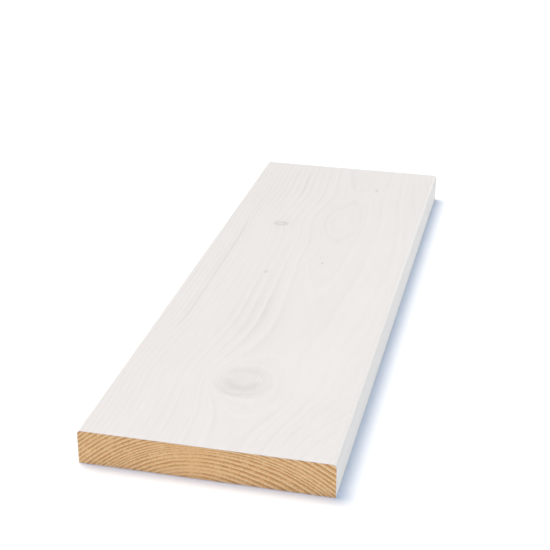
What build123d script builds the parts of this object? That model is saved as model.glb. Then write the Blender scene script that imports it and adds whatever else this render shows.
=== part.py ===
from build123d import *
import os

# Planed softwood cladding board, one short length, lying on its back with the finished face up.
# The origin is the middle of the back face. X runs across the board, Y along the grain,
# Z out of the finished face.

# Driving dimensions in millimetres
board_width = 145.0
board_thickness = 21.0
board_length = 450.0
face_arris_radius = 2.5  # rounding of both long edges of the finished face
back_arris_radius = 0.5  # light easing of both long edges of the back

# Section across the grain, standing on the back face: the sketch's own Y is the board's Z
with BuildSketch(Plane.XZ) as section:
    Rectangle(board_width, board_thickness, align=(Align.CENTER, Align.MIN))
    fillet(section.vertices().group_by(Axis.Y)[-1], radius=face_arris_radius)
    fillet(section.vertices().group_by(Axis.Y)[0], radius=back_arris_radius)

# The section run along the grain, with both ends cut square and left sharp
with BuildPart() as board:
    extrude(section.sketch, amount=board_length / 2, both=True)

cladding_board = board.part
cladding_board.label = "cladding_board"

os.makedirs("parts", exist_ok=True)
export_step(cladding_board, "parts/cladding_board.step")
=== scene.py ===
import math

import bmesh
import bpy
import numpy as np
from mathutils import Matrix, Vector


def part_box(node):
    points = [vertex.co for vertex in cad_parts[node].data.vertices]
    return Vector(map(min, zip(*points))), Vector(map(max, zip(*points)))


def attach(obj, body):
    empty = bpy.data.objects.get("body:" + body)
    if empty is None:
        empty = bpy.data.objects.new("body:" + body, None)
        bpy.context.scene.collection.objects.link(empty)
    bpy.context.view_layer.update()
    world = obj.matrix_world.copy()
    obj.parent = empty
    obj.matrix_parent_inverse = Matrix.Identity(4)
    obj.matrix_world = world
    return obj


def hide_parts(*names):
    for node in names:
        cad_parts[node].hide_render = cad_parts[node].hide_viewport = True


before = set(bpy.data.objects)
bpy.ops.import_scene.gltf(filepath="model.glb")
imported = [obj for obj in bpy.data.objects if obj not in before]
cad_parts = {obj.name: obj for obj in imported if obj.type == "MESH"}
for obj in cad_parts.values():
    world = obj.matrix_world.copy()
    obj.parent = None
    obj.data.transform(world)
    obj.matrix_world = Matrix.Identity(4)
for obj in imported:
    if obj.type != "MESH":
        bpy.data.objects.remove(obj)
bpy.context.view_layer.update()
boardLow, boardHigh = (Vector(corner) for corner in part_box("cladding_board"))
boardSize = boardHigh - boardLow
boardMiddle = (boardHigh + boardLow) / 2
mm = 0.001


# sRGB hex to the linear colour that shaders want
def hexColour(text):
    parts = [int(text[i:i + 2], 16) / 255 for i in (0, 2, 4)]
    return tuple(p / 12.92 if p <= 0.04045 else ((p + 0.055) / 1.055) ** 2.4 for p in parts) + (1.0,)


# adds a node with its inputs by name or in order: a socket among them is linked, any other value is set
# (a map range takes its value, the range it comes from, then the range it goes to)
def addNode(tree, kind, settings=None, inputs=()):
    node = tree.nodes.new("ShaderNode" + kind)
    for name, value in (settings or {}).items():
        if name == "stops":
            ramp = node.color_ramp.elements
            while len(ramp) < len(value):
                ramp.new(0.5)
            for element, (place, colour) in zip(ramp, value):
                element.position = place
                element.color = colour if isinstance(colour, tuple) else (colour, colour, colour, 1)
        else:
            setattr(node, name, value)
    given = inputs.items() if isinstance(inputs, dict) else enumerate(inputs)
    for socket, value in given:
        if isinstance(value, bpy.types.NodeSocket):
            tree.links.new(value, node.inputs[socket])
        else:
            node.inputs[socket].default_value = value
    return node


def newMaterial(name):
    material = bpy.data.materials.new(name)
    material.use_nodes = True
    tree = material.node_tree
    return material, tree, tree.nodes["Principled BSDF"]


# noise with lumps of this size: millimetres across, along and through the board; most of it is 0.3 to 0.7
def lumps(tree, coords, size, detail, roughness=0.5):
    scaled = addNode(tree, "Mapping", {"vector_type": "TEXTURE"},
                     {"Vector": coords, "Scale": [s * mm for s in size]}).outputs["Vector"]
    return addNode(tree, "TexNoise", {}, {"Vector": scaled, "Scale": 1.0, "Detail": detail,
                                          "Roughness": roughness}).outputs["Fac"]


# how the tree grew through this board, in millimetres of the board's own frame
growth = {
    # along the board: the pith's place across it, and its depth below the finished face
    "pith": [
        (-225, 8.0, 101.35), (-185, 8.5, 101.4), (-150, 6.0, 101.45), (-115, 8.0, 101.6),
        (-75, 13.5, 101.25), (-30, 13.8, 100.8), (15, 14.6, 100.3), (55, 14.2, 100.2),
        (80, 13.6, 99.8), (105, 12.6, 99.15), (135, 13.4, 99.75), (160, 14.2, 100.2),
        (190, 13.5, 99.7), (225, 13.0, 99.4),
    ],
    "smoothing": 45,    # length over which bends in the pith's line are eased
    "spread": 0.11,     # rings are wider right of the pith and narrower left by this share
    "spreadAt": 70,     # at this distance from it
    "spreadFrom": 98.6,  # the ring this far out keeps its place
    # along the board: how much wider still they are on the right
    "spreadRight": [
        (-225, 0.0), (-205, 0.25), (-150, 1.9), (-110, 2.0), (50, 2.2), (120, 1.5), (225, 0.5),
    ],
    "crown": (-10, 26, 6.0),  # below the face the rings rise here: across, half width, rise at the back
    "firstRing": 68.6,  # distance from the pith where the first of these yearly widths starts
    "widths": [
        3.1, 3.1, 3.0, 3.1, 3.1, 3.0, 3.1, 3.0, 2.9, 2.6, 1.4, 1.6, 1.9, 2.0, 2.2, 2.2, 2.6, 2.7,
        2.4, 2.5, 2.5, 2.6, 2.4, 2.4, 2.5, 2.4, 2.4, 2.4, 2.3,
    ],
    # place across and along, half width and length, how far it pushes the rings out, reach of the push
    "knots": [
        {"at": (2.5, -150.5), "half": (10.5, 10.3), "push": 27.3, "reach": 6.5, "sort": "sound"},
        {"at": (-30.5, 92.0), "half": (5.4, 4.2), "push": 3.0, "reach": 5.0, "sort": "dead"},
        {"at": (-21.0, 3.0), "half": (1.3, 2.2), "push": 0.9, "reach": 2.5, "sort": "pin"},
        {"at": (14.5, 26.5), "half": (1.1, 1.9), "push": 0.9, "reach": 2.5, "sort": "pin"},
        {"at": (29.5, 178.0), "half": (1.1, 2.6), "push": 0.9, "reach": 2.5, "sort": "pin"},
    ],
    "knotTaper": 0.35,  # at the back, nearer the pith, the push reaches less far by this share
    # swells in the rings with no knot in them: across, along, push, reach
    "swells": [(3, 224, 0.3, 12), (24, -166, 1.2, 13), (7, 30, 0.65, 7)],
    # places where the grain shows more, or less below 0: across, along, half width, half length, how much
    "bold": [
        (-7, -62, 13, 58, 0.85), (-55.3, 35, 2.6, 100, 0.95), (-36, 175, 30, 62, 1.2),
        (12, 105, 17, 45, 0.9), (29, -25, 12, 60, 0.2), (8, 205, 12, 32, 0.5), (62, 140, 4, 90, 0.4),
        (6, 28, 8, 14, 0.4), (0, -198, 28, 22, 0.2), (-64, -30, 14, 260, 0.6), (45, -200, 22, 25, 0.4),
        (50, 10, 24, 110, -0.4), (40, -122, 14, 40, -0.6), (-22, -20, 9, 90, 0.5), (36, -5, 8, 55, 0.45),
        (-45, -195, 28, 35, 0.35), (-40, 10, 10, 60, 0.3), (-55.4, -65, 2.6, 32, 0.5),
    ],
    # places where the latewood is broad, up to 1, or narrow, below 0: the same
    "broad": [
        (-7, -62, 12, 58, 1.0), (-55.3, 35, 2.6, 100, 1.0), (-38, 170, 34, 65, 0.5),
        (-64, -30, 14, 260, 0.4), (-22, -20, 9, 90, 0.3), (-55.4, -65, 2.6, 32, 0.6),
        (12, 105, 17, 45, -0.25),
    ],
}


# smooth line through a few points along the board
def easedLine(points, column, along):
    steps = np.arange(-300.0, 301.0)    # well past both ends
    rough = np.interp(steps, [p[0] for p in points], [p[column] for p in points])
    window = np.hanning(growth["smoothing"])
    return np.interp(along, steps, np.convolve(rough, window / window.sum(), mode="same"))


# which growth ring a point lies in, as a running number that rises from the pith outwards
def ringNumber(x, y, z):
    below = boardSize.z / mm - z
    across = x - easedLine(growth["pith"], 1, y)
    distance = np.hypot(across, easedLine(growth["pith"], 2, y) - below)
    crownX, crownWidth, rise = growth["crown"]
    sunk = below / (boardSize.z / mm)
    distance -= rise * sunk * np.exp(-((x - crownX) / crownWidth) ** 2)
    for knot in growth["knots"]:
        (knotX, knotY), (halfWidth, halfLength) = knot["at"], knot["half"]
        fromKnot = np.hypot(x - knotX, (y - knotY) * halfWidth / halfLength)
        reach = knot["reach"] * (1 - growth["knotTaper"] * sunk)
        distance -= knot["push"] / (1 + (fromKnot / reach) ** 2)
    for swellX, swellY, push, reach in growth["swells"]:
        distance -= push / (1 + ((x - swellX) ** 2 + (y - swellY) ** 2) / reach ** 2)
    level = growth["spreadFrom"]
    wider = growth["spread"] * across + easedLine(growth["spreadRight"], 1, y) * np.maximum(across, 0)
    distance = level + (distance - level) / (1 + wider / growth["spreadAt"])
    edges = growth["firstRing"] + np.cumsum([0] + growth["widths"])
    return np.interp(distance, edges, np.arange(len(edges)))


# adds up soft patches at a point of the face
def patchSum(patches, x, y):
    total = np.zeros_like(x)
    for middleX, middleY, halfWidth, halfLength, much in patches:
        total += much * np.exp(-((x - middleX) / halfWidth) ** 2 - ((y - middleY) / halfLength) ** 2)
    return total


# how a ring is drawn where it is cut; places in it are shares of its width, from its inner side outwards
ringLook = {
    "waver": 0.3,                 # rings waver by this share of a width
    "waverSize": (6, 50, 6),      # mm
    "palestTo": 0.45,             # the first earlywood is palest and fades out here
    "broader": 0.56,              # a broad patch's latewood starts this much sooner
    "darkFrom": 0.9,              # latewood is darkest here
    "darkTo": 0.92,               # and from here it ends sharply
    "vigour": (0.45, 1.0),        # some years are stronger than others
    "comes": (0.3, 1.3),          # and each comes and goes along the board
    "comesSize": (5, 70, 5),      # mm
    "boldLeast": 0.55,            # the most that a bold patch lifts its faint rings to
    "fibreSize": (0.5, 18, 0.5),  # mm, many times coarser than real fibres so that they show
    "innerLines": 4.0,            # finer lines in a ring
}


# adds the nodes that every cut through the wood shares: ring lines, earlywood, fibres, from 0 to about 1
def growthNodes(tree, lateFrom, bold, broad):
    coords = addNode(tree, "TexCoord").outputs["Object"]
    rings = addNode(tree, "Attribute", {"attribute_name": "rings"}).outputs["Fac"]
    swing = ringLook["waver"]
    waver = lumps(tree, coords, ringLook["waverSize"], detail=4.0, roughness=0.6)
    moved = addNode(tree, "Math", {"operation": "MULTIPLY_ADD"}, [waver, swing, rings]).outputs[0]
    moved = addNode(tree, "Math", {"operation": "SUBTRACT"}, [moved, swing / 2]).outputs[0]
    place = addNode(tree, "Math", {"operation": "FRACT"}, [moved]).outputs[0]
    count = addNode(tree, "Math", {"operation": "FLOOR"}, [moved]).outputs[0]
    # each ring goes from pale earlywood to dark latewood
    early = addNode(tree, "MapRange", {"interpolation_type": "SMOOTHSTEP"},
                    [place, 0.0, ringLook["palestTo"], 1.0, 0.0]).outputs[0]
    start = addNode(tree, "MapRange", {"clamp": False},
                    [broad, 0.0, 1.0, lateFrom, lateFrom - ringLook["broader"]]).outputs[0]
    rise = addNode(tree, "MapRange", {"interpolation_type": "SMOOTHSTEP"},
                   [place, start, ringLook["darkFrom"], 0.0, 1.0]).outputs[0]
    fall = addNode(tree, "MapRange", {}, [place, ringLook["darkTo"], 1.0, 1.0, 0.0]).outputs[0]
    late = addNode(tree, "Math", {"operation": "MULTIPLY"}, [rise, fall]).outputs[0]
    # how strong it is here
    vigour = addNode(tree, "TexWhiteNoise", {"noise_dimensions": "1D"}, {"W": count}).outputs["Value"]
    vigour = addNode(tree, "MapRange", {}, [vigour, 0.0, 1.0, *ringLook["vigour"]]).outputs[0]
    comes = lumps(tree, coords, ringLook["comesSize"], detail=3.0)
    comes = addNode(tree, "MapRange", {}, [comes, 0.35, 0.65, *ringLook["comes"]]).outputs[0]
    strength = addNode(tree, "Math", {"operation": "MULTIPLY"}, [vigour, comes]).outputs[0]
    least = addNode(tree, "Math", {"operation": "MINIMUM"}, [bold, ringLook["boldLeast"]]).outputs[0]
    least = addNode(tree, "Math", {"operation": "MAXIMUM"}, [broad, least]).outputs[0]
    strength = addNode(tree, "Math", {"operation": "MAXIMUM"}, [strength, least]).outputs[0]
    lines = addNode(tree, "Math", {"operation": "MULTIPLY"}, [late, strength]).outputs[0]
    fibre = lumps(tree, coords, ringLook["fibreSize"], detail=2.0)
    # the finer lines follow their ring round the knots
    inner = addNode(tree, "Math", {"operation": "MULTIPLY"}, [moved, ringLook["innerLines"]]).outputs[0]
    inner = addNode(tree, "TexNoise", {"noise_dimensions": "1D"},
                    {"W": inner, "Scale": 1.0, "Detail": 2.0}).outputs["Fac"]
    return {"coords": coords, "lines": lines, "early": early, "fibre": fibre, "inner": inner}


# how the knots are drawn, in half widths of a knot
knotLook = {
    # how dark a knot is, from its middle outwards: on its near half, then on its far half
    "shade": {
        "sound": (
            [(0.0, 0.3), (0.45, 0.4), (0.8, 0.95), (1.0, 0.85), (1.2, 0.35), (1.35, 0.4), (1.58, 0.75),
             (1.8, 0.2), (2.0, 0.0)],
            [(0.0, 0.3), (0.5, 0.25), (0.95, 0.3), (1.2, 0.55), (1.4, 0.45), (1.6, 0.2), (2.0, 0.0)],
        ),
        "dead": (
            [(0.0, 0.45), (0.3, 0.5), (0.55, 1.2), (0.75, 1.5), (1.0, 0.8), (1.3, 0.0), (2.0, 0.0)],
            [(0.0, 0.45), (0.3, 0.5), (0.55, 1.1), (0.8, 1.4), (1.0, 0.6), (1.2, 0.0), (2.0, 0.0)],
        ),
        "pin": (
            [(0.0, 1.7), (0.5, 1.6), (1.0, 0.5), (1.4, 0.0), (2.0, 0.0)],
            [(0.0, 1.7), (0.5, 1.4), (1.0, 0.4), (1.4, 0.0), (2.0, 0.0)],
        ),
    },
    "shadeTo": 2.0,                 # where the shades above end
    "ragged": {"sound": 0.2, "dead": 0.4, "pin": 0.2},  # how far its outline wanders
    "raggedSize": (2.5, 2.5, 2.5),  # mm
    "tear": 0.3,                    # how far the border between its halves wanders
    "tearSoft": 0.35,
    "sideFade": (0.6, 1.6),         # left and right of its middle the shade fades from here to here
    "sideLeft": 0.3,                # and this much of it stays
    # checks in the sound knot that the stain has filled: across and along, each from and to
    "checks": [((0.1, 1.1), (-0.05, 0.8)), ((-1.35, -0.7), (0.15, 0.7))],
    "checkGap": 0.19,
    "checkSoft": 0.15,
    "checkPale": 1.1,
}


# pale arcs round a knot's middle, in the patches where it has opened
def checkNodes(tree, sides, even, shade):
    soft = knotLook["checkSoft"]
    arcs = addNode(tree, "Math", {"operation": "MULTIPLY"},
                   [even, 2 * math.pi / knotLook["checkGap"]]).outputs[0]
    arcs = addNode(tree, "Math", {"operation": "SINE"}, [arcs]).outputs[0]
    arcs = addNode(tree, "MapRange", {}, [arcs, 0.0, 0.8, 0.0, 1.0]).outputs[0]
    for corners in knotLook["checks"]:
        check = arcs
        for axis, (low, high) in zip("XY", corners):
            for edge, inside in ((low, low + soft), (high, high - soft)):
                within = addNode(tree, "MapRange", {}, [sides[axis], edge, inside, 0.0, 1.0]).outputs[0]
                check = addNode(tree, "Math", {"operation": "MULTIPLY"}, [check, within]).outputs[0]
        shade = addNode(tree, "Math", {"operation": "MULTIPLY_ADD"},
                        [check, -knotLook["checkPale"], shade]).outputs[0]
    return shade


# adds the knots: about 1 at a knot's darkest, 0 outside
def knotNodes(tree, coords):
    ragged = lumps(tree, coords, knotLook["raggedSize"], detail=3.0)
    ragged = addNode(tree, "MapRange", {}, [ragged, 0.2, 0.8, -1.0, 1.0]).outputs[0]
    shadeTo, soft = knotLook["shadeTo"], knotLook["tearSoft"]
    knots = 0.0
    for knot in growth["knots"]:
        (knotX, knotY), (halfWidth, halfLength), sort = knot["at"], knot["half"], knot["sort"]
        local = addNode(tree, "Mapping", {"vector_type": "TEXTURE"}, {
            "Vector": coords, "Location": (knotX * mm, knotY * mm, 0),
            "Scale": (halfWidth * mm, halfLength * mm, 1.0)}).outputs["Vector"]
        sides = addNode(tree, "SeparateXYZ", {}, [local]).outputs
        even = addNode(tree, "VectorMath", {"operation": "LENGTH"}, [local]).outputs["Value"]
        away = addNode(tree, "Math", {"operation": "MULTIPLY_ADD"},
                       [ragged, knotLook["ragged"][sort], even]).outputs[0]
        away = addNode(tree, "Math", {"operation": "DIVIDE"}, [away, shadeTo]).outputs[0]
        near, far = (
            addNode(tree, "ValToRGB", {"stops": [(place / shadeTo, dark) for place, dark in stops]},
                    [away]).outputs["Color"]
            for stops in knotLook["shade"][sort])
        # the planer tore the far half of each knot a little and the stain filled it
        torn = addNode(tree, "Math", {"operation": "MULTIPLY_ADD"},
                       [ragged, knotLook["tear"], sides["Y"]]).outputs[0]
        torn = addNode(tree, "MapRange", {"interpolation_type": "SMOOTHSTEP"},
                       [torn, -soft, soft, 0.0, 1.0]).outputs[0]
        shade = addNode(tree, "Mix", {}, {"Factor": torn, "A": near, "B": far}).outputs["Result"]
        aside = addNode(tree, "Math", {"operation": "ABSOLUTE"}, [sides["X"]]).outputs[0]
        aside = addNode(tree, "MapRange", {},
                        [aside, *knotLook["sideFade"], 1.0, knotLook["sideLeft"]]).outputs[0]
        shade = addNode(tree, "Math", {"operation": "MULTIPLY"}, [shade, aside]).outputs[0]
        if sort == "sound":
            shade = checkNodes(tree, sides, even, shade)
            knots = addNode(tree, "Math", {"operation": "ADD"}, [shade, knots]).outputs[0]
        else:
            knots = addNode(tree, "Math", {"operation": "MAXIMUM"}, [shade, knots]).outputs[0]
    return knots


# links a finish's colour, roughness and bump to its shader
def linkFinish(tree, shader, look, tone, dull, height, isSunk=False):
    stops = [(place, hexColour(colour)) for place, colour in look["colours"]]
    colour = addNode(tree, "ValToRGB", {"stops": stops}, [tone]).outputs["Color"]
    bump = addNode(tree, "Bump", {"invert": isSunk}, {
        "Height": height, "Strength": look["bump"], "Distance": look["bumpDepth"] * mm}).outputs["Normal"]
    for socket, value in (("Base Color", colour), ("Roughness", dull), ("Normal", bump)):
        tree.links.new(value, shader.inputs[socket])


stain = {
    "lateFrom": 0.66,             # where in a ring its dark line starts
    "lines": (0.13, 0.33),        # how much the lines show: in plain grain, in bold grain
    "fibres": 0.12,
    "innerLines": (0.03, 0.12),   # where the grain is faintest, elsewhere
    "clouds": 0.15,               # the stain took unevenly
    "cloudSize": (15, 40, 15),    # mm
    "knots": 0.5,
    "tones": (-0.3, 1.0),         # what the colours below stretch over
    "colours": [(0.0, "F0ECE8"), (1.0, "CFCBC7")],
    "roughness": (0.56, 0.42),    # where the stain soaked in, where it stays on top
    "bump": 0.2,
    "bumpDepth": 0.1,             # mm
}


# translucent white stain on planed pine: an even off-white with the grain and knots just showing through
def stainedPine():
    material, tree, shader = newMaterial("translucentWhiteStainOnPlanedPine")
    bold = addNode(tree, "Attribute", {"attribute_name": "bold"}).outputs["Fac"]
    broad = addNode(tree, "Attribute", {"attribute_name": "broad"}).outputs["Fac"]
    wood = growthNodes(tree, stain["lateFrom"], bold, broad)
    knots = knotNodes(tree, wood["coords"])
    much = addNode(tree, "MapRange", {"clamp": False}, [bold, 0.0, 1.0, *stain["lines"]]).outputs[0]
    show = addNode(tree, "Math", {"operation": "MULTIPLY"}, [wood["lines"], much]).outputs[0]
    hairs = addNode(tree, "MapRange", {}, [wood["fibre"], 0.3, 0.7, 0.0, stain["fibres"]]).outputs[0]
    show = addNode(tree, "Math", {"operation": "ADD"}, [hairs, show]).outputs[0]
    inner = addNode(tree, "MapRange", {}, [wood["inner"], 0.3, 0.7, 0.0, 1.0]).outputs[0]
    faint = addNode(tree, "MapRange", {}, [bold, -0.4, 0.0, *stain["innerLines"]]).outputs[0]
    show = addNode(tree, "Math", {"operation": "MULTIPLY_ADD"}, [inner, faint, show]).outputs[0]
    cloud = lumps(tree, wood["coords"], stain["cloudSize"], detail=3.0)
    show = addNode(tree, "Math", {"operation": "MULTIPLY_ADD"}, [cloud, stain["clouds"], show]).outputs[0]
    show = addNode(tree, "Math", {"operation": "MULTIPLY_ADD"}, [knots, stain["knots"], show]).outputs[0]
    tone = addNode(tree, "MapRange", {}, [show, *stain["tones"], 0.0, 1.0]).outputs[0]
    # the film stays on the dense latewood and soaks into the rest, so the darker lines shine a little more
    dull = addNode(tree, "MapRange", {}, [show, 0.0, 0.6, *stain["roughness"]]).outputs[0]
    linkFinish(tree, shader, stain, tone, dull, show)
    return material


sawn = {
    "lateFrom": 0.35,
    "palest": 0.3,                # how much paler the first earlywood is
    "ground": 0.6,                # tone between the lines
    "woollyAt": -8,               # mm across: round here the saw left the fibres woolly
    "woollyTo": 32,               # mm to either side
    "woollyLines": 0.3,           # how much of the rings still shows there
    "grit": 0.45,
    "gritSize": (0.8, 0.8, 0.8),  # mm
    "gritAcross": (0.6, 1.05),    # times as much: in the woolly middle, to either side
    "colours": [(0.1, "FFE6B1"), (0.6, "FAC485"), (1.0, "D89B5B")],
    "roughness": (0.8, 0.95),
    "bump": 0.3,
    "bumpDepth": 0.2,             # mm
}


# pine sawn across the grain: warm tan with the rings as brown lines, rough and dull
def sawnEnd():
    material, tree, shader = newMaterial("pineEndGrainSawn")
    wood = growthNodes(tree, sawn["lateFrom"], 0.0, 0.0)
    across = addNode(tree, "SeparateXYZ", {}, [wood["coords"]]).outputs["X"]
    across = addNode(tree, "Math", {"operation": "SUBTRACT"}, [across, sawn["woollyAt"] * mm]).outputs[0]
    across = addNode(tree, "Math", {"operation": "ABSOLUTE"}, [across]).outputs[0]
    clear = addNode(tree, "MapRange", {"interpolation_type": "SMOOTHSTEP"},
                    [across, 0.0, sawn["woollyTo"] * mm, sawn["woollyLines"], 1.0]).outputs[0]
    late = addNode(tree, "Math", {"operation": "MULTIPLY"}, [wood["lines"], clear]).outputs[0]
    early = addNode(tree, "Math", {"operation": "MULTIPLY"}, [wood["early"], clear]).outputs[0]
    grit = lumps(tree, wood["coords"], sawn["gritSize"], detail=3.0, roughness=0.7)
    grit = addNode(tree, "MapRange", {}, [grit, 0.2, 0.8, -sawn["grit"], sawn["grit"]]).outputs[0]
    torn = addNode(tree, "MapRange", {},
                   [across, 0.0, sawn["woollyTo"] * mm, *sawn["gritAcross"]]).outputs[0]
    grit = addNode(tree, "Math", {"operation": "MULTIPLY"}, [grit, torn]).outputs[0]
    tone = addNode(tree, "Math", {"operation": "ADD"}, [grit, sawn["ground"]]).outputs[0]
    tone = addNode(tree, "Math", {"operation": "ADD"}, [tone, late]).outputs[0]
    tone = addNode(tree, "Math", {"operation": "MULTIPLY_ADD"}, [early, -sawn["palest"], tone]).outputs[0]
    dull = addNode(tree, "MapRange", {}, [grit, -0.5, 0.5, *sawn["roughness"]]).outputs[0]
    linkFinish(tree, shader, sawn, tone, dull, tone, isSunk=True)
    return material


planed = {
    "lateFrom": 0.55,
    "lines": 0.55,                # how much each shows
    "fibres": 0.15,
    "knots": 0.8,
    "colours": [(0.0, "E6CBA2"), (0.6, "CB9F67"), (1.0, "7E5230")],
    "roughness": (0.66, 0.48),    # earlywood, latewood
    "bump": 0.2,
    "bumpDepth": 0.1,             # mm
}


# bare planed pine: pale straw with honey-brown latewood and knots
def planedBack():
    material, tree, shader = newMaterial("pineBarePlaned")
    wood = growthNodes(tree, planed["lateFrom"], 0.0, 0.0)
    knots = knotNodes(tree, wood["coords"])
    tone = addNode(tree, "Math", {"operation": "MULTIPLY"}, [wood["lines"], planed["lines"]]).outputs[0]
    tone = addNode(tree, "Math", {"operation": "MULTIPLY_ADD"},
                   [wood["fibre"], planed["fibres"], tone]).outputs[0]
    tone = addNode(tree, "Math", {"operation": "MULTIPLY_ADD"}, [knots, planed["knots"], tone]).outputs[0]
    dull = addNode(tree, "MapRange", {}, [tone, 0.0, 1.0, *planed["roughness"]]).outputs[0]
    linkFinish(tree, shader, planed, tone, dull, wood["fibre"])
    return material


board = {
    "faceArris": 2.5,     # mm, as the solid has them
    "faceSegments": 8,
    "backArris": 0.5,
    "backSegments": 3,
    "endEase": 0.25,      # the saw's corner is not quite sharp
    "endSegments": 2,
    "columns": 160,
    "layers": 12,
    "rows": 246,
    "ringRelief": 0.05,   # earlywood lies this much below latewood
    "deepestAt": 0.4,     # share of a ring's width
}


def buildBoard():
    bm = bmesh.new()
    bmesh.ops.create_cube(bm, size=1.0)
    bmesh.ops.scale(bm, vec=boardSize, verts=bm.verts)
    bmesh.ops.translate(bm, vec=boardMiddle, verts=bm.verts)
    halfLength = boardSize.y / 2
    for side in ("face", "back"):
        edges = [e for e in bm.edges if e.calc_length() > halfLength
                 and all((v.co.z > boardMiddle.z) == (side == "face") for v in e.verts)]
        bmesh.ops.bevel(bm, geom=edges, offset=board[side + "Arris"] * mm, offset_type="OFFSET",
                        segments=board[side + "Segments"], profile=0.5, affect="EDGES", material=-1)
    rims = [e for e in bm.edges if e.calc_length() < halfLength]
    bmesh.ops.bevel(bm, geom=rims, offset=board["endEase"] * mm, offset_type="OFFSET",
                    segments=board["endSegments"], profile=0.5, affect="EDGES", material=-1)
    # a grid over the whole board, fine enough to carry the grain's relief
    for axis, count, low, high in (
            (0, board["columns"], board["faceArris"], boardSize.x / mm - board["faceArris"]),
            (2, board["layers"], board["backArris"], boardSize.z / mm - board["faceArris"])):
        for step in range(1, count):
            point = boardLow.copy()
            point[axis] += (low + (high - low) * step / count) * mm
            normal = Vector((0, 0, 0))
            normal[axis] = 1
            bmesh.ops.bisect_plane(bm, geom=bm.verts[:] + bm.edges[:] + bm.faces[:], dist=0.0001 * mm,
                                   plane_co=point, plane_no=normal)
    lengths = [e for e in bm.edges if e.calc_length() > halfLength]
    bmesh.ops.subdivide_edges(bm, edges=lengths, cuts=board["rows"] - 1, use_grid_fill=True)
    squareOn = 0.99
    for face in bm.faces:
        face.smooth = True
        if abs(face.normal.y) > squareOn:
            face.material_index = 1    # the sawn ends
        elif face.normal.z < -squareOn:
            face.material_index = 2    # the bare back
    mesh = bpy.data.meshes.new("claddingBoard")
    bm.to_mesh(mesh)
    bm.free()
    return mesh


# gives every point its place in the wood, and sinks the earlywood of the face, edges and back
def addRelief(mesh):
    count = len(mesh.vertices)
    places = np.empty(count * 3)
    normals = np.empty(count * 3)
    mesh.vertices.foreach_get("co", places)
    mesh.vertices.foreach_get("normal", normals)
    places, normals = places.reshape(-1, 3), normals.reshape(-1, 3)
    x, y, z = (places / mm).T
    rings = ringNumber(x, y, z)
    values = {"rings": rings}
    for name in ("bold", "broad"):
        values[name] = patchSum(growth[name], x, y)
    for name, value in values.items():
        mesh.attributes.new(name, "FLOAT", "POINT").data.foreach_set("value", value)
    sunk = board["ringRelief"] * (0.5 + 0.5 * np.cos(2 * np.pi * (rings - board["deepestAt"])))
    isLong = np.abs(normals[:, 1]) < 0.3    # not on the ends or their corners
    places -= normals * (sunk * isLong * mm)[:, None]
    mesh.vertices.foreach_set("co", places.ravel())
    mesh.update()


boardMesh = buildBoard()
addRelief(boardMesh)
boardObject = bpy.data.objects.new("claddingBoard", boardMesh)
bpy.context.collection.objects.link(boardObject)
for material in (stainedPine(), sawnEnd(), planedBack()):
    boardMesh.materials.append(material)
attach(boardObject, "root")
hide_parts("cladding_board")
triangles = sum(len(p.vertices) - 2 for p in boardMesh.polygons)
print("board:", len(boardMesh.polygons), "faces,", triangles, "triangles")


studio = {
    "floorSize": 12.0,  # metres
    "floorColour": "F5F9FC",
    "floorRoughness": 0.9,
    # light, colour, strength, angle it fills, direction it shines in
    "lights": [
        ("softboxAbove", "FFF1DA", 2.62, 33, (0.35, -0.16, -1.0)),
        ("softboxRight", "FFF4DA", 1.0, 40, (-0.96, 0.23, -0.1)),
        ("cardInFront", "5680FF", 0.60, 50, (-0.1, 0.7, -0.7)),
        ("rimBehind", "FFF6EC", 0.68, 30, (-0.42, -0.9, -0.2)),
    ],
    "glossAlone": "rimBehind",
    "noGloss": "cardInFront",
    # a low strip along the right edge that makes up for the light its own shadow takes: mm and watts
    "reflector": {"width": 8, "gap": 0.3, "lift": 0.3, "power": 0.0028},
    "skyColour": "DAF0FF",
    "skyStrength": 0.43,
}


# white paper, matt and smooth, which bleaches out round the board's soft shadow
def buildFloor():
    bm = bmesh.new()
    bmesh.ops.create_grid(bm, x_segments=1, y_segments=1, size=studio["floorSize"] / 2)
    bmesh.ops.translate(bm, vec=(0, 0, boardLow.z), verts=bm.verts)
    mesh = bpy.data.meshes.new("paperFloor")
    bm.to_mesh(mesh)
    bm.free()
    floor = bpy.data.objects.new("paperFloor", mesh)
    bpy.context.collection.objects.link(floor)
    material, _, shader = newMaterial("whiteStudioPaper")
    shader.inputs["Base Color"].default_value = hexColour(studio["floorColour"])
    shader.inputs["Roughness"].default_value = studio["floorRoughness"]
    mesh.materials.append(material)


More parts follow.
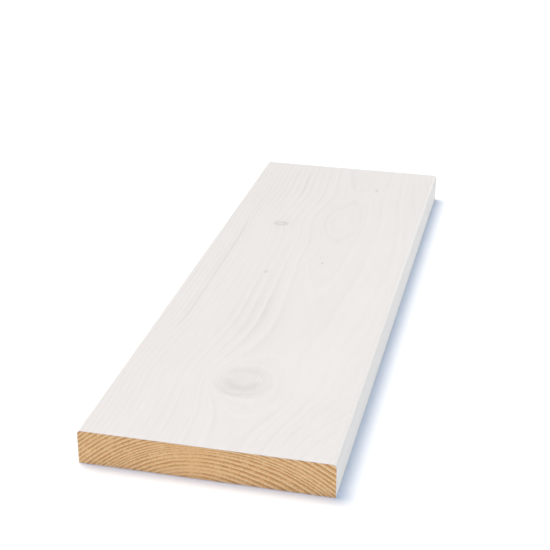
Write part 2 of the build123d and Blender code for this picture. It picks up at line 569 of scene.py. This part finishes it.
def buildLights():
    for name, colour, strength, angle, towards in studio["lights"]:
        light = bpy.data.lights.new(name, "SUN")
        light.color = hexColour(colour)[:3]
        light.energy = strength
        light.angle = math.radians(angle)
        lamp = bpy.data.objects.new(name, light)
        lamp.rotation_euler = Vector(towards).to_track_quat("-Z", "Y").to_euler()
        lamp.visible_diffuse = name != studio["glossAlone"]
        lamp.visible_glossy = name != studio["noGloss"]
        bpy.context.collection.objects.link(lamp)
    strip = studio["reflector"]
    light = bpy.data.lights.new("reflectorRight", "AREA")
    light.shape = "RECTANGLE"
    light.size = strip["width"] * mm
    light.size_y = boardSize.y
    light.energy = strip["power"]
    lamp = bpy.data.objects.new("reflectorRight", light)
    lamp.location = (boardHigh.x + (strip["gap"] + strip["width"] / 2) * mm, boardMiddle.y,
                     boardLow.z + strip["lift"] * mm)
    lamp.rotation_euler = (math.pi, 0, 0)    # shines upwards
    lamp.visible_camera = False
    bpy.context.collection.objects.link(lamp)


# cool light from all round, with a white backdrop where the camera looks past the floor
def buildSky():
    world = bpy.data.worlds.new("studioSky")
    world.use_nodes = True
    tree = world.node_tree
    glow = tree.nodes["Background"]
    glow.inputs["Color"].default_value = hexColour(studio["skyColour"])
    glow.inputs["Strength"].default_value = studio["skyStrength"]
    backdrop = addNode(tree, "Background", {}, {"Color": (1, 1, 1, 1), "Strength": 1.0}).outputs[0]
    seen = addNode(tree, "LightPath").outputs["Is Camera Ray"]
    both = addNode(tree, "MixShader", {}, [seen, glow.outputs[0], backdrop]).outputs[0]
    tree.links.new(both, tree.nodes["World Output"].inputs["Surface"])
    bpy.context.scene.world = world
    bpy.context.scene.view_settings.view_transform = "Standard"


buildFloor()
buildLights()
buildSky()
print("studio: floor,", len(studio["lights"]), "lights, reflector and sky")


view = {
    "place": (166.5, -776.4, 387.4),  # mm
    "azimuth": 13.071,                # degrees
    "elevation": 24.722,
    "roll": 0.342,
    "lens": 82.59,                    # mm
    "sensor": 36,
    "nearest": 10,
}


def buildCamera():
    camera = bpy.data.cameras.new("productCamera")
    camera.lens = view["lens"]
    camera.sensor_width = view["sensor"]
    camera.clip_start = view["nearest"] * mm
    stand = bpy.data.objects.new("productCamera", camera)
    turn = (Matrix.Rotation(math.radians(view["azimuth"]), 4, "Z")
            @ Matrix.Rotation(math.radians(90 - view["elevation"]), 4, "X")
            @ Matrix.Rotation(math.radians(view["roll"]), 4, "Z"))
    stand.matrix_world = Matrix.Translation(Vector(view["place"]) * mm) @ turn
    bpy.context.collection.objects.link(stand)
    bpy.context.scene.camera = stand


buildCamera()
print("camera at", view["place"])
